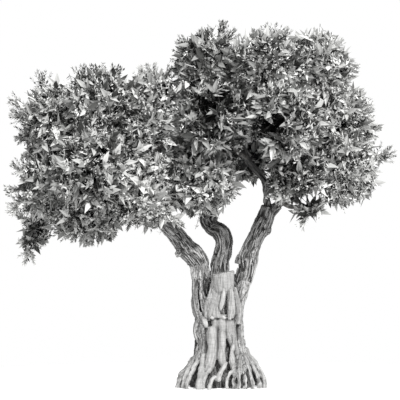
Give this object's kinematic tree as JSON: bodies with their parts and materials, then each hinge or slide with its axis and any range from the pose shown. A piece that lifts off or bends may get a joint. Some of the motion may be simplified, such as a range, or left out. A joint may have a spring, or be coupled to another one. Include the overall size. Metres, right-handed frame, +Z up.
{
  "type": "olive tree",
  "caption": "Old ornamental olive tree: fluted trunk on a spreading root flare with a sawn stub, forking boughs and a broad dense crown of small lance-shaped leaves, cut flat at the ground.",
  "frame": {"origin": "middle of the flat cut under the trunk, at ground level", "axes": "+Z up along the trunk, +X to the right as the tree is seen from its front, along the crown's greatest width, +Y to its back"},
  "size_m": [3.783, 2.1023, 3.5],
  "materials": {
    "trunk_bark": "rough fissured pale grey bark with smooth bare wood at the front",
    "bough_bark": "rough grey bark",
    "foliage": "leathery silver-grey leaves with paler undersides"
  },
  "bodies": {
    "root": {"bough_centre_elbow": "bough_bark", "bough_centre_lower": "bough_bark", "bough_centre_upper": "bough_bark", "bough_left": "bough_bark", "bough_left_outer": "bough_bark", "bough_right": "bough_bark", "bough_right_fork": "bough_bark", "bough_right_upright": "bough_bark", "foliage_centre_back": "foliage", "foliage_centre_front": "foliage", "foliage_centre_low": "foliage", "foliage_left_back_inner": "foliage", "foliage_left_back_outer": "foliage", "foliage_left_front": "foliage", "foliage_left_low_inner": "foliage", "foliage_left_low_middle": "foliage", "foliage_left_middle_outer": "foliage", "foliage_left_tail": "foliage", "foliage_left_top_inner": "foliage", "foliage_left_top_middle": "foliage", "foliage_left_top_outer": "foliage", "foliage_right_back_inner": "foliage", "foliage_right_back_outer": "foliage", "foliage_right_front": "foliage", "foliage_right_inner": "foliage", "foliage_right_low_inner": "foliage", "foliage_right_low_outer": "foliage", "foliage_right_low_tuft": "foliage", "foliage_right_outer": "foliage", "foliage_right_top_inner": "foliage", "foliage_right_top_middle": "foliage", "foliage_right_top_outer": "foliage", "limb_centre_back": "bough_bark", "limb_centre_front": "bough_bark", "limb_centre_low": "bough_bark", "limb_left_back_inner": "bough_bark", "limb_left_back_outer": "bough_bark", "limb_left_front": "bough_bark", "limb_left_low_inner": "bough_bark", "limb_left_low_middle": "bough_bark", "limb_left_middle_outer": "bough_bark", "limb_left_tail": "bough_bark", "limb_left_top_inner": "bough_bark", "limb_left_top_middle": "bough_bark", "limb_left_top_outer": "bough_bark", "limb_right_back_inner": "bough_bark", "limb_right_back_outer": "bough_bark", "limb_right_front": "bough_bark", "limb_right_inner": "bough_bark", "limb_right_low_inner": "bough_bark", "limb_right_low_outer": "bough_bark", "limb_right_low_tuft": "bough_bark", "limb_right_outer": "bough_bark", "limb_right_top_inner": "bough_bark", "limb_right_top_middle": "bough_bark", "limb_right_top_outer": "bough_bark", "trunk": "trunk_bark"}
  },
  "joints": []
}
